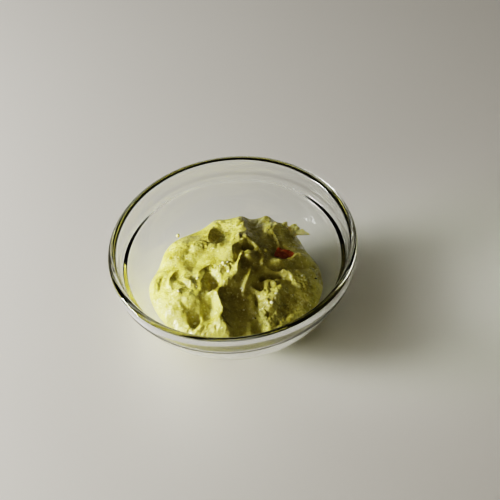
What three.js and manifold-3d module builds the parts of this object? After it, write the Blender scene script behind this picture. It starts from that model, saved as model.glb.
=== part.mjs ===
// A clear pressed-glass bowl, part filled with a rough heap of guacamole that has one piece of
// tomato caught in a cleft. Millimetres, +Z up, the origin at the middle of the bowl's foot.
// +Y points to the back of the heap and +X to its right.
import * as THREE from "three";
import { mergeVertices } from "three/addons/utils/BufferGeometryUtils.js";
import Module from "manifold-3d";

const wasm = await Module();
wasm.setup();

// ---- Driving dimensions ---------------------------------------------------------------------

const RIM_RADIUS = 60; // widest part of the collar
const BOWL_HEIGHT = 52;
const COLLAR_DEPTH = 10; // the thick band under the rim that bowls stack on
const COLLAR_THICKNESS = 4.2;
const RECESS = 2.8; // how far the body steps in below the collar
const LEDGE_WIDTH = 2.6; // the step inside, level with the collar's lower edge
const FOOT_RADIUS = 26;
const FOOT_FLAT_WIDTH = 6;
const PUNT_DEPTH = 1; // the hollow under the foot
const FLOOR_THICKNESS = 5;
const FLOOR_RADIUS = 24; // where the inside turns up into the wall
const BODY_POWER = 1.55; // how full the outside curve is
const CAVITY_POWER = 1.65; // how full the inside curve is
const BOWL_SEGMENTS = 56;

const TOUCH_GAP = 0.3; // left between pieces that touch

const TIDE_HEIGHT = 21.6; // mean height of the line where the dip meets the glass
const SUMMIT = { x: 6, y: 8 };
const SUMMIT_RISE = 12; // the heap's top above the tide line, before its folds
const SUMMIT_POWER = 1.75; // 1 is a cone, 2 a dome
const EDGE_ROUND = 2.4; // how much the heap rolls down to the glass at its edge
const EDGE_POWER = 14;
const HEAP_RINGS = 37; // rings of the heap's top, with six more points in each

// ---- Bowl -----------------------------------------------------------------------------------

const bodyTop = BOWL_HEIGHT - COLLAR_DEPTH - 0.8;
const bodyTopRadius = RIM_RADIUS - RECESS;
const ledgeHeight = BOWL_HEIGHT - COLLAR_DEPTH - 1.7;
const ledgeRadius = RIM_RADIUS - COLLAR_THICKNESS - LEDGE_WIDTH - 1.2;

// A wall that leaves `from` flat and turns upright as it comes to `to`.
function sweep(z, from, to, power) {
  const share = THREE.MathUtils.clamp((z - from.z) / (to.z - from.z), 0, 1);
  return from.r + (to.r - from.r) * (1 - (1 - share) ** power);
}

const bodyRadius = (z) =>
  sweep(z, { r: FOOT_RADIUS, z: 0 }, { r: bodyTopRadius, z: bodyTop }, BODY_POWER);

const cavityRadius = (z) =>
  sweep(z, { r: FLOOR_RADIUS, z: FLOOR_THICKNESS }, { r: ledgeRadius, z: ledgeHeight }, CAVITY_POWER);

const BODY_LEVELS = [2, 7, 13, 20, 27, 34];
const CAVITY_LEVELS = [35, 28.5, 22.5, 17, 12.5, 9];
const FLOOR_BEND = { r: FLOOR_RADIUS - 1, z: FLOOR_THICKNESS + 0.6 };

function bowlGeometry() {
  const collarFoot = BOWL_HEIGHT - COLLAR_DEPTH;
  const innerRim = RIM_RADIUS - COLLAR_THICKNESS;
  const profile = [
    [0, PUNT_DEPTH],
    [FOOT_RADIUS - FOOT_FLAT_WIDTH - 2, PUNT_DEPTH],
    [FOOT_RADIUS - FOOT_FLAT_WIDTH, 0],
    [FOOT_RADIUS - 0.6, 0],
    ...BODY_LEVELS.map((z) => [bodyRadius(z), z]),
    [bodyTopRadius, bodyTop],
    [RIM_RADIUS - 1.2, collarFoot + 0.4],
    [RIM_RADIUS - 0.4, collarFoot + 2],
    [RIM_RADIUS, BOWL_HEIGHT - 2.6],
    [RIM_RADIUS - 0.7, BOWL_HEIGHT - 0.8],
    [RIM_RADIUS - 2.1, BOWL_HEIGHT],
    [RIM_RADIUS - 3.4, BOWL_HEIGHT - 0.7],
    [innerRim, BOWL_HEIGHT - 2.4],
    [innerRim - 1, collarFoot + 0.4],
    [innerRim - 1.7, ledgeHeight + 0.5],
    [ledgeRadius, ledgeHeight],
    ...CAVITY_LEVELS.map((z) => [cavityRadius(z), z]),
    [FLOOR_BEND.r, FLOOR_BEND.z],
    [FLOOR_BEND.r - 5, FLOOR_THICKNESS],
    [0, FLOOR_THICKNESS],
  ];
  const points = profile.map(([r, z]) => new THREE.Vector2(r, z));
  // LatheGeometry turns its profile about Y, so the bowl is stood up afterwards.
  return new THREE.LatheGeometry(points, BOWL_SEGMENTS).rotateX(Math.PI / 2);
}

// ---- Unevenness -----------------------------------------------------------------------------

function lattice(i, j, layer) {
  const v = Math.sin(i * 127.1 + j * 311.7 + layer * 74.7) * 43758.5453;
  return v - Math.floor(v);
}

// Smooth noise from -1 to 1, one lump to a unit of x and y.
function lumps(x, y, layer) {
  const i = Math.floor(x);
  const j = Math.floor(y);
  const u = THREE.MathUtils.smoothstep(x - i, 0, 1);
  const v = THREE.MathUtils.smoothstep(y - j, 0, 1);
  const near = THREE.MathUtils.lerp(lattice(i, j, layer), lattice(i + 1, j, layer), u);
  const far = THREE.MathUtils.lerp(lattice(i, j + 1, layer), lattice(i + 1, j + 1, layer), u);
  return 2 * THREE.MathUtils.lerp(near, far, v) - 1;
}

// ---- Forms of the heap ----------------------------------------------------------------------

// Where the tide line rises or falls round the wall: [angle in degrees, rise, half width in degrees].
const TIDE_MARKS = [
  [98, 1.4, 7], [80, 0.7, 6], [63, 2.3, 7], [112, 1, 10], [138, 1.7, 16], [178, 2, 24],
  [48, 1.8, 7], [22, -2.2, 12], [2, -0.6, 12], [-20, 0.8, 16], [-60, 0.6, 20],
  [-100, -0.4, 20], [238, 0.6, 14],
];

// Soft swellings: [x, y, half length, half width, turn in degrees, height].
const SWELLS = [
  [28, 15, 11, 12, 0, 0.6], // right shoulder
  [-25, 20, 11, 12, 30, 1.4], // left shoulder
  [-33, -14, 8, 10, -30, 2.2], // smooth left front
  [-25, -12.6, 5.4, 3.2, -16, 1.3], // big knob left of the middle
  [-20.4, -10, 4.4, 4, -30, 1.9],
  [-23.2, -3.6, 4.2, 1.7, -62, 1.7], // and the narrow one behind it
  [-28.6, -7.4, 2.4, 1.2, 20, 0.8],
  [-20.6, -14, 3.4, 2.4, 0, 1.4],
  [6, 10, 7, 7, 0, 0.6], // under the summit's ring
  [-17.6, -6, 1.6, 3, 0, 0.8],
  [-7.6, -0.2, 2.2, 2, 20, 1.1], // knobs on the crest's left flank
  [-4.8, 2.4, 2.4, 2.1, 0, 1.2],
  [-6.6, -4, 2.6, 1.6, 20, 0.5],
  [-3.4, -1.4, 1.4, 1.8, 0, 0.8],
  [-18.5, -29, 3.2, 2.6, 0, 1],
  [-13, -32, 3.4, 3, 0, 1.7],
  [12.6, -34.6, 1.6, 2.4, 0, 0.9], // crumbly right front
  [17.3, -33.6, 2.4, 2, 0, 1.4],
  [23.5, -30.5, 4, 1.8, 30, 1.2],
  [29, -26, 5, 3, 40, 1],
  [31, -11, 6, 8, 10, 1.2],
  [7.4, 5, 3.4, 3.4, 0, 0.9], // the ring's front, and the lip of its crater
  [17.4, 8, 1.9, 3.4, 0, 1.2], // boss between the ring and the tomato
  [8, 16.4, 2.6, 2, 0, 1],
  [1, 30, 4, 6, 0, 1.2],
  [4, 19.6, 3.8, 4, 0, 1],
  [-19, 31, 5, 5, 20, -0.6], // flatter outside the scoop's brim
  [-25, -33, 6, 4, -30, 0.8],
  [26, 24, 5, 7, 20, 0.9],
  [35, -4, 3, 5, 10, 0.8],
];

// Pits: [x, y, half length, half width, turn in degrees, depth, softness of the brim].
const PITS = [
  [-3.9, 26.6, 5.5, 8.4, 4, 4.6, 0.26], // scoop behind the summit
  [-12.9, 29, 1, 1.7, 10, 1.5, 0.28],
  [-17.8, 10.5, 7.4, 5.6, 14, 2.8, 0.38], // shallow dish on the left
  [-21.4, 18.8, 1.5, 1.6, 0, 1.6, 0.28],
  [-31, 4.2, 2.1, 1.5, 20, 1.6, 0.32],
  [-20.6, -1.6, 1.5, 1.9, 0, 2.4, 0.24],
  [-12, -6.4, 2.5, 5.4, 2, 4.8, 0.2], // long pit left of the crest
  [-7, -16.4, 0.9, 2.6, 12, 1.3, 0.35],
  [7.3, 11.4, 3, 2, -8, 8, 0.12], // the crater inside the ring
  [3, 8, 0.8, 2.8, -8, 1.2, 0.34], // and the slit beside it
  [23.8, 7.4, 6.4, 4.8, -30, 3.4, 0.18], // the cleft that holds the tomato
  [16, -7.2, 4.9, 2, -4, 5.6, 0.12], // deep pit right of the tongue
  [10.6, -10.8, 2.4, 2.8, 20, 4.6, 0.18],
  [23.8, -10.4, 2.8, 1.5, -42, 2.6, 0.18],
  [20.6, -24.4, 4.8, 6, -25, 2.4, 0.32],
  [-23, -23.6, 2.2, 3.8, -4, 4.6, 0.18], // deep pit at the left front
  [-19.6, -22.6, 2.4, 3, 0, 1.8, 0.3],
  [-13.8, -20.6, 4.2, 4.4, 10, 4.4, 0.2],
  [-12.8, -31.6, 0.9, 1.2, 0, 1.2, 0.3],
  [8.2, -18.7, 0.8, 1.5, 0, 1.6, 0.26],
  [-31, -5.5, 2.6, 1.3, 0, 1, 0.3],
  [14.4, 30, 3, 10, 0, 3.2, 0.3], // valley between the two back ridges
  [19.5, 17.5, 1.2, 2.2, 0, 1, 0.3],
  [29, -31, 2.4, 1.6, -30, 1.2, 0.3],
  [13.4, -27.6, 1.8, 0.8, 10, 1.8, 0.26],
  [16.6, -31.6, 1.2, 1.6, 10, 1.8, 0.26],
  [7, -33.6, 1.8, 3, 10, 2, 0.26],
];

// Folds and grooves along a route: height, width on the left and on the right of the way it
// runs, how rounded its crest is (1 a round one, less a keen one) and how long its ends taper.
const FOLDS = [
  // the ridges at the back, and the brims of the scoop
  {
    route: [[8.4, 16], [7.8, 20], [7.6, 25], [7.2, 31], [7, 37], [7, 43]],
    height: 2.2, left: 8, right: 2, round: 0.95, ends: 3,
  },
  {
    route: [[18.6, 22], [20.6, 28], [21.8, 37], [22, 43]],
    height: 1.7, left: 5, right: 4.5, round: 0.55, ends: 4,
  },
  {
    route: [[-12, 20.4], [-8, 19], [-3.5, 17.4], [1, 17]],
    height: 1.4, left: 0.9, right: 6, round: 0.8, ends: 3,
  },
  {
    route: [[-13.4, 22], [-13.2, 29], [-11.4, 35]],
    height: 1.5, left: 4, right: 1.1, round: 0.8, ends: 3,
  },
  // the outer lobe on the left, its groove and the lobe inside it
  { route: [[-39, 10], [-41, 4], [-41.4, -4]], height: 1, left: 1.6, right: 1.8, round: 0.9, ends: 3 },
  {
    route: [[-34.6, 7], [-37, 5.2], [-38.2, 3], [-39.2, -1.9]],
    height: -0.9, left: 0.9, right: 0.9, round: 0.9, ends: 2,
  },
  {
    route: [[-30.4, 9], [-33.4, 7], [-35.2, 2], [-35.2, -3], [-33.4, -5.8]],
    height: 1.2, left: 2, right: 1, round: 0.8, ends: 3,
  },
  {
    route: [[-23, 20], [-24, 17], [-25.6, 12.6], [-27.4, 9.6]],
    height: -1.1, left: 2.4, right: 0.8, round: 0.85, ends: 2,
  },
  {
    route: [[-20.4, 0.8], [-15.4, 3.4], [-12.4, 6.4]],
    height: 0.9, left: 0.7, right: 0.9, round: 0.7, ends: 2,
  },
  // the main crest, from the ring down to the left front
  {
    route: [[2.6, 6], [2, 1.7], [-0.2, -3.2], [-3.8, -7.8], [-8, -12]],
    height: 3.4, left: 4, right: 3.6, round: 0.75, ends: 4,
  },
  {
    route: [[-8.6, -11], [-11.6, -12.4], [-14.8, -13.6]],
    height: 2.6, left: 1.3, right: 1.6, round: 0.7, ends: 1.6,
  },
  {
    route: [[-7, -10.6], [-9.6, -14], [-9, -19], [-8.2, -24], [-9.2, -28], [-7.4, -31.4], [-5.4, -37]],
    height: 4.2, left: 1.6, right: 3.6, round: 0.65, ends: 3,
  },
  // the spooned slope of the tongue, with the thin ribs on its right
  {
    route: [[-1, -9], [0.5, -16], [2, -24], [2.4, -37]],
    height: -2.8, left: 7, right: 6, round: 1.2, ends: 5,
  },
  {
    route: [[7.4, -12], [8.2, -18], [8, -26], [7, -33]],
    height: -2, left: 2.4, right: 1.8, round: 0.9, ends: 3,
  },
  { route: [[4.8, -27], [3.8, -31], [2.8, -37]], height: 1, left: 1.2, right: 1.7, round: 0.8, ends: 2 },
  {
    route: [[7, 0], [6.8, -3.6], [6, -8], [4.4, -11], [3, -13.6], [2.4, -17]],
    height: 2.3, left: 1.6, right: 1.8, round: 0.8, ends: 1.5,
  },
  { route: [[2.6, 6], [2, 1], [1.4, -4]], height: 0.9, left: 0.8, right: 1, round: 0.8, ends: 2 },
  // the ring round the crater, its right leg and its two knobs
  {
    route: [[0.4, 5], [0.2, 9], [1.2, 13], [4.4, 15], [8.4, 14.8], [11.6, 13]],
    height: 1.8, left: 3, right: 1.3, round: 0.75, ends: 2.5,
  },
  {
    route: [[9.4, 14.6], [12.4, 12], [13.4, 8], [13.6, 5]],
    height: 1.4, left: 1.8, right: 1.9, round: 1, ends: 2,
  },
  { route: [[13.8, 7], [14.2, 3], [14.2, -2]], height: 0.8, left: 2.2, right: 1.2, round: 0.85, ends: 2 },
  { route: [[1.4, 2], [-0.1, 8], [0.6, 14]], height: 1.5, left: 9, right: 1.2, round: 0.9, ends: 3 },
  {
    route: [[14, -2], [16.6, -3.4], [20, -4.2], [24.6, -4.4], [30, -6], [36, -6]],
    height: 1.1, left: 1, right: 2.4, round: 0.8, ends: 3,
  },
  { route: [[1.3, 15.6], [1.3, 19], [1.4, 22]], height: 1, left: 0.8, right: 0.7, round: 0.9, ends: 1.2 },
  { route: [[4.2, 15.6], [4.3, 19], [4.4, 22]], height: 0.8, left: 1, right: 0.7, round: 0.9, ends: 1.2 },
  // the terrace on the right, with its lip in front of the tomato and the hollow under the lip
  {
    route: [[15, 0], [20, 0.4], [25.4, 1], [29, 3.2], [31.6, 5.4], [35, 3.4], [39, 1.6]],
    height: 3.4, left: 10, right: 1, round: 0.8, ends: 3,
  },
  {
    route: [[16, -2.6], [25, -1.8], [30, -0.4], [36, -1.6]],
    height: -3, left: 1.6, right: 1.8, round: 0.9, ends: 3,
  },
  { route: [[22, -3.4], [25, -6], [28, -9.6]], height: 1.6, left: 3, right: 0.7, round: 0.8, ends: 1.5 },
  // the crumbly ridge at the right front
  {
    route: [[21.5, -9], [20.6, -13], [19, -16.4], [17, -20], [15.6, -24], [14.6, -28]],
    height: 3.2, left: 2.8, right: 3.6, round: 0.85, ends: 2.5,
  },
  {
    route: [[21.6, -5.4], [21.8, -8], [22.2, -11]],
    height: 1.8, left: 2.2, right: 0.7, round: 0.8, ends: 1.2,
  },
  { route: [[31, -4], [34, -13], [30, -23]], height: 0.9, left: 2, right: 2, round: 0.8, ends: 3 },
  { route: [[36.5, 0], [39, -8], [36.5, -17]], height: 0.9, left: 1.6, right: 1.6, round: 0.8, ends: 3 },
  { route: [[21.4, 23], [22.2, 18], [24, 12.4]], height: 0.8, left: 0.6, right: 0.8, round: 0.8, ends: 2 },
  { route: [[24, 14], [26, 20], [30, 28]], height: 0.6, left: 1.5, right: 1.2, round: 0.8, ends: 2 },
];

const ROUTE_STEPS = 5; // straight pieces to each stretch of a fold's route

function tideHeight(angle) {
  const degrees = THREE.MathUtils.radToDeg(angle);
  let z = TIDE_HEIGHT;
  for (const [at, rise, halfWidth] of TIDE_MARKS) {
    const off = THREE.MathUtils.euclideanModulo(degrees - at + 180, 360) - 180;
    z += rise * Math.exp(-((off / halfWidth) ** 2));
  }
  return z;
}

// Distance from a form's middle, counted in its own half length and half width.
function spread(x, y, [cx, cy, long, wide, turn]) {
  const a = THREE.MathUtils.degToRad(turn);
  const along = (x - cx) * Math.cos(a) + (y - cy) * Math.sin(a);
  const across = (y - cy) * Math.cos(a) - (x - cx) * Math.sin(a);
  return Math.hypot(along / long, across / wide);
}

const swellHeight = (x, y, swell) => swell[5] * Math.exp(-(spread(x, y, swell) ** 2));

const pitHeight = (x, y, pit) => -pit[5] / (1 + Math.exp((spread(x, y, pit) - 1) / pit[6]));

// A fold's route as short straight pieces, each with its direction and its place along the whole.
function routePieces(route) {
  const curve = new THREE.SplineCurve(route.map(([x, y]) => new THREE.Vector2(x, y)));
  const points = curve.getPoints(ROUTE_STEPS * (route.length - 1));
  let done = 0;
  return points.slice(1).map((end, i) => {
    const start = points[i];
    const length = start.distanceTo(end);
    const piece = {
      start,
      length,
      before: done,
      tx: (end.x - start.x) / length,
      ty: (end.y - start.y) / length,
    };
    done += length;
    return piece;
  });
}

for (const fold of FOLDS) {
  fold.pieces = routePieces(fold.route);
  const last = fold.pieces.at(-1);
  fold.length = last.before + last.length;
}

function foldHeight(x, y, fold) {
  let nearest = Infinity;
  let side = 0;
  let along = 0;
  for (const piece of fold.pieces) {
    const dx = x - piece.start.x;
    const dy = y - piece.start.y;
    const step = THREE.MathUtils.clamp(dx * piece.tx + dy * piece.ty, 0, piece.length);
    const ex = dx - step * piece.tx;
    const ey = dy - step * piece.ty;
    const distance = Math.hypot(ex, ey);
    if (distance < nearest) {
      nearest = distance;
      side = piece.tx * ey - piece.ty * ex;
      along = piece.before + step;
    }
  }
  const lean = side / (Math.abs(side) + 0.15 * (nearest + 0.3));
  const width = (fold.left + fold.right) / 2 + (lean * (fold.left - fold.right)) / 2;
  const taper = (s) => 1 - Math.exp(-((s / fold.ends + 0.35) ** 2));
  const body = Math.exp(-((nearest / width) ** (2 * fold.round)));
  return fold.height * taper(along) * taper(fold.length - along) * body;
}

// The heap without its folds: a dome that leans to the summit and rolls down to the glass.
function domeHeight(x, y) {
  const tide = tideHeight(Math.atan2(y, x));
  const wall = cavityRadius(tide);
  const fromAxis = Math.min(1, Math.hypot(x, y) / wall);
  const dx = x - SUMMIT.x;
  const dy = y - SUMMIT.y;
  const fromSummit = Math.hypot(dx, dy) + 1e-6;
  // how far the wall is from the summit in this direction
  const b = (SUMMIT.x * dx + SUMMIT.y * dy) / fromSummit;
  const reach = Math.sqrt(b * b - (SUMMIT.x ** 2 + SUMMIT.y ** 2 - wall * wall)) - b;
  const share = Math.min(1, fromSummit / reach);
  return (
    THREE.MathUtils.lerp(TIDE_HEIGHT, tide, share * share) +
    (SUMMIT_RISE - EDGE_ROUND) * (1 - share ** SUMMIT_POWER) +
    EDGE_ROUND * (1 - fromAxis ** EDGE_POWER)
  );
}

function heapHeight(x, y) {
  // The forms are pushed about a little, so that none of them is a clean curve.
  const wx = x + 0.5 * lumps(x / 5, y / 5, 1) + 0.3 * lumps(x / 1.9, y / 1.9, 2);
  const wy = y + 0.5 * lumps(x / 5, y / 5, 3) + 0.3 * lumps(x / 1.9, y / 1.9, 4);
  let relief = 0.5 * lumps(x / 4.2 + 9, y / 4.2, 5);
  for (const swell of SWELLS) relief += swellHeight(wx, wy, swell);
  for (const pit of PITS) relief += pitHeight(wx, wy, pit);
  for (const fold of FOLDS) relief += foldHeight(wx, wy, fold);
  const fromAxis = Math.hypot(x, y) / cavityRadius(tideHeight(Math.atan2(y, x)));
  const nearWall = THREE.MathUtils.clamp((fromAxis - 0.93) / 0.07, 0, 1);
  return domeHeight(x, y) + relief * (1 - 0.8 * nearWall ** 2);
}

// ---- Meshes ---------------------------------------------------------------------------------

// Joins a list of rings, each a list of points going round anticlockwise, by triangles, and
// closes both ends, which are single points. Rings may have different numbers of points.
function skin(rings) {
  const vertices = rings.flat();
  const faces = [];
  let offset = 0;
  for (let k = 0; k + 1 < rings.length; k++) {
    const here = rings[k].length;
    const next = rings[k + 1].length;
    const a = (i) => offset + (i % here);
    const b = (j) => offset + here + (j % next);
    let i = 0;
    let j = 0;
    while (i < (here > 1 ? here : 0) || j < (next > 1 ? next : 0)) {
      const canI = here > 1 && i < here;
      const canJ = next > 1 && j < next;
      if (canJ && (!canI || (j + 1) / next <= (i + 1) / here)) {
        faces.push(a(i), b(j), b(j + 1));
        j++;
      } else {
        faces.push(a(i), b(j), a(i + 1));
        i++;
      }
    }
    offset += here;
  }
  const geometry = new THREE.BufferGeometry().setFromPoints(vertices);
  geometry.setIndex(faces);
  return geometry;
}

function ringAngles(count) {
  return Array.from({ length: count }, (_, i) => (2 * Math.PI * i) / count);
}

// The heap: its top from the axis out to the glass, then its underside down along the glass.
function heapGeometry() {
  const rings = [[new THREE.Vector3(0, 0, heapHeight(0, 0))]];
  for (let k = 1; k <= HEAP_RINGS; k++) {
    rings.push(
      ringAngles(6 * k).map((angle) => {
        const tide = tideHeight(angle);
        const r = (cavityRadius(tide) - 1.4 * TOUCH_GAP) * (k / HEAP_RINGS);
        const x = r * Math.cos(angle);
        const y = r * Math.sin(angle);
        return new THREE.Vector3(x, y, k < HEAP_RINGS ? heapHeight(x, y) : tide);
      }),
    );
  }
  const underside = [
    [120, cavityRadius(17) - 1.4 * TOUCH_GAP, 17],
    [84, cavityRadius(12.5) - 1.5 * TOUCH_GAP, 12.5],
    [60, cavityRadius(9) - 1.6 * TOUCH_GAP, 9],
    [48, FLOOR_BEND.r - TOUCH_GAP, FLOOR_BEND.z + TOUCH_GAP],
    [24, FLOOR_BEND.r - 5, FLOOR_THICKNESS + TOUCH_GAP],
    [6, FLOOR_RADIUS / 3, FLOOR_THICKNESS + TOUCH_GAP],
  ];
  for (const [count, r, z] of underside) {
    rings.push(
      ringAngles(count).map((a) => new THREE.Vector3(r * Math.cos(a), r * Math.sin(a), z)),
    );
  }
  rings.push([new THREE.Vector3(0, 0, FLOOR_THICKNESS + TOUCH_GAP)]);
  return skin(rings);
}

// A chip: flattened sections set along a curve, swelling and shrinking to a point at both ends.
// `flat` is the direction it is thin in, `size` its half width and half thickness, and a lower
// `lean` makes it widest nearer its start.
function chipGeometry({ route, flat, size, sections, sides, lean = 0.8, grow = 0 }) {
  const curve = new THREE.CatmullRomCurve3(route.map((p) => new THREE.Vector3(...p)));
  const thin = new THREE.Vector3(...flat).normalize();
  const start = curve.getPoint(0);
  const end = curve.getPoint(1);
  const out = curve.getTangent(0).multiplyScalar(grow);
  const rings = [[start.clone().sub(out)]];
  for (let k = 1; k < sections; k++) {
    const share = k / sections;
    const centre = curve.getPoint(share);
    const wide = new THREE.Vector3().crossVectors(curve.getTangent(share), thin).normalize();
    const swell = Math.sin(Math.PI * share ** lean) ** 0.55;
    rings.push(
      ringAngles(sides).map((a) =>
        centre
          .clone()
          .addScaledVector(wide, Math.cos(a) * (size.wide * swell + grow))
          .addScaledVector(thin, Math.sin(a) * (size.thick * swell + grow)),
      ),
    );
  }
  out.copy(curve.getTangent(1)).multiplyScalar(grow);
  rings.push([end.clone().add(out)]);
  return skin(rings);
}

// ---- Joining and cutting --------------------------------------------------------------------

function solid(geometry) {
  const plain = geometry.clone();
  plain.deleteAttribute("normal");
  plain.deleteAttribute("uv");
  const merged = mergeVertices(plain, 1e-4);
  const made = new wasm.Manifold(
    new wasm.Mesh({
      numProp: 3,
      vertProperties: merged.attributes.position.array,
      triVerts: new Uint32Array(merged.index.array),
    }),
  );
  return made;
}

function geometryOf(made) {
  const mesh = made.getMesh();
  const position = new THREE.BufferAttribute(new Float32Array(mesh.vertProperties), 3);
  const geometry = new THREE.BufferGeometry().setAttribute("position", position);
  geometry.setIndex(new THREE.BufferAttribute(new Uint32Array(mesh.triVerts), 1));
  geometry.computeVertexNormals();
  return geometry;
}

// ---- Pieces ---------------------------------------------------------------------------------

const TOMATO = {
  route: [[19.8, 7.4], [25, 5.6], [32, 3.6]],
  sunk: [0.5, 0.2, 0.4], // how far each point of the route lies under the dip's surface
  flat: [0, -0.5, 0.87],
  size: { wide: 4.8, thick: 1.1 },
  lean: 0.5,
  sections: 9,
  sides: 12,
};
TOMATO.route = TOMATO.route.map(([x, y], i) => [x, y, heapHeight(x, y) - TOMATO.sunk[i]]);

// Torn flakes that stand out from the heap's edge over the glass.
const FLAKES = [
  {
    route: [[28.6, 24.6, 25], [33.6, 22.8, 27], [39.6, 20.4, 26.8]],
    flat: [0.1, -0.35, 1],
    size: { wide: 2.2, thick: 0.7 },
  },
  {
    route: [[28.4, 24.4, 25.2], [31, 26, 27], [33, 28, 28]],
    flat: [0.4, -0.5, 1],
    size: { wide: 2.6, thick: 0.8 },
  },
  {
    route: [[36.6, -3.6, 22.4], [38.6, -2.2, 23.6], [40, -0.8, 24.6]],
    flat: [1, 0, 0.4],
    size: { wide: 1.1, thick: 0.7 },
  },
];

function guacamoleGeometry() {
  let heap = solid(heapGeometry());
  for (const flake of FLAKES) {
    heap = heap.add(solid(chipGeometry({ ...flake, sections: 6, sides: 8 })));
  }
  return geometryOf(heap.subtract(solid(chipGeometry({ ...TOMATO, grow: TOUCH_GAP }))));
}

function piece(name, geometry, look) {
  const mesh = new THREE.Mesh(geometry, new THREE.MeshStandardMaterial(look));
  mesh.name = name;
  return mesh;
}

const dish = new THREE.Group();
dish.add(
  piece("bowl", geometryOf(solid(bowlGeometry())), {
    color: 0xdfe6d8,
    roughness: 0.03,
    metalness: 0,
    transparent: true,
    opacity: 0.3,
  }),
  piece("guacamole", guacamoleGeometry(), { color: 0xb9b45c, roughness: 0.35, metalness: 0 }),
  piece("tomato_piece", geometryOf(solid(chipGeometry(TOMATO))), {
    color: 0xa6240f,
    roughness: 0.25,
    metalness: 0,
  }),
);

export default dish;
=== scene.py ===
"""Guacamole in a small clear stacking bowl.

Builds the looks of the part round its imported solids: the pressed glass bowl, the rough heap of
guacamole with its folds, pits and wet film, the torn flakes at its edge, the tomato in its cleft, the
onion and herb bits on the heap, the crumb left on the glass, and the studio round them.
"""

import math

import bpy
import numpy as np
from mathutils import Matrix, Vector
from mathutils.bvhtree import BVHTree


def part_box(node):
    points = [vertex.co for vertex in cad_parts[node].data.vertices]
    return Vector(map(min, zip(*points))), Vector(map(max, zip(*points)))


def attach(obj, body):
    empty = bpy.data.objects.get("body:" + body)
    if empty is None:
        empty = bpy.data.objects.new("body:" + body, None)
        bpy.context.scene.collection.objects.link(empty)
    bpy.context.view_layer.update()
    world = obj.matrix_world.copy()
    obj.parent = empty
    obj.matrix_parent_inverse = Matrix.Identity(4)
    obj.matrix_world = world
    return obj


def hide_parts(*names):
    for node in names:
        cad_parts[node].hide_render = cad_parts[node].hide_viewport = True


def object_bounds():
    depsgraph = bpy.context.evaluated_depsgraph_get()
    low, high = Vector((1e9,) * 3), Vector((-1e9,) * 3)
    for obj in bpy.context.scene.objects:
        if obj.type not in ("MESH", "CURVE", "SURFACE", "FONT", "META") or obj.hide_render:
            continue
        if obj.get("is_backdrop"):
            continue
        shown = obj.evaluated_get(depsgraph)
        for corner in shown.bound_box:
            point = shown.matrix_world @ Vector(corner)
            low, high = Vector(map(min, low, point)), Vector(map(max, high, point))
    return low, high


bl_info = {
    "name": "Guacamole Bowl",
    "version": (1, 0, 0),
    "blender": (4, 5, 0),
    "location": "3D View > Sidebar > Guacamole",
    "description": "Builds a glass bowl of guacamole round its solids",
    "category": "Add Mesh",
}

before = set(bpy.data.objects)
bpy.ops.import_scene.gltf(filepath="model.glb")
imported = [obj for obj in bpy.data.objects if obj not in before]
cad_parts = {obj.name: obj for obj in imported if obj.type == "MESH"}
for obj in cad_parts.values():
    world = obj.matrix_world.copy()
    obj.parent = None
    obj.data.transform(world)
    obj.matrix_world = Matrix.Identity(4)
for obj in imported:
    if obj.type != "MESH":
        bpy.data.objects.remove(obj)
CAD_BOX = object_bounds()

MM = 0.001  # the forms below are in millimetres, Blender's own unit here is the metre


# ---- Sizes taken from the solids ----

BOWL_LOW, BOWL_HIGH = (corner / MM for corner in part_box("bowl"))
RIM_RADIUS = (BOWL_HIGH.x - BOWL_LOW.x) / 2
BOWL_HEIGHT = BOWL_HIGH.z

COLLAR_DEPTH = 10  # the thick band under the rim that bowls stack on
COLLAR_THICKNESS = 4.2
RECESS = 2.8  # how far the body steps in below the collar
LEDGE_WIDTH = 2.6  # the step inside, level with the collar's lower edge
FOOT_RADIUS = 26
FOOT_FLAT_WIDTH = 6
PUNT_DEPTH = 1
FLOOR_THICKNESS = 5
FLOOR_RADIUS = 24
BODY_POWER = 1.55
CAVITY_POWER = 1.65

BODY_TOP = BOWL_HEIGHT - COLLAR_DEPTH - 0.8
BODY_TOP_RADIUS = RIM_RADIUS - RECESS
LEDGE_HEIGHT = BOWL_HEIGHT - COLLAR_DEPTH - 1.7
LEDGE_RADIUS = RIM_RADIUS - COLLAR_THICKNESS - LEDGE_WIDTH - 1.2

GLASS_BITE = 0.15  # how far the dip reaches into the wall, so that no air shows between them

TIDE_HEIGHT = 21.6  # mean height of the line where the dip meets the glass
SUMMIT = (6, 8)
SUMMIT_RISE = 12
SUMMIT_POWER = 1.75
EDGE_ROUND = 2.4  # how far the top rolls down to the glass
EDGE_POWER = 14
CALM_FROM = 0.93  # share of the way to the glass from where the relief dies down
CALM_SHARE = 0.8  # and how much of it is gone at the glass

BOWL_SEGMENTS = 192
WALL_STEPS = 22
HEAP_RINGS = 180


def sweep(z, low, high, power):
    """Radius at height z of a wall that leaves `low` flat and turns upright as it comes to `high`."""
    share = np.clip((z - low[1]) / (high[1] - low[1]), 0, 1)
    return low[0] + (high[0] - low[0]) * (1 - (1 - share) ** power)


def body_radius(z):
    return sweep(z, (FOOT_RADIUS, 0), (BODY_TOP_RADIUS, BODY_TOP), BODY_POWER)


def cavity_radius(z):
    return sweep(z, (FLOOR_RADIUS, FLOOR_THICKNESS), (LEDGE_RADIUS, LEDGE_HEIGHT), CAVITY_POWER)


# ---- Unevenness ----


def scramble(i, j, layer):
    """A fixed number from 0 to 1 for each cell of a grid."""
    v = np.sin(i * 127.1 + j * 311.7 + layer * 74.7) * 43758.5453
    return v - np.floor(v)


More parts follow.
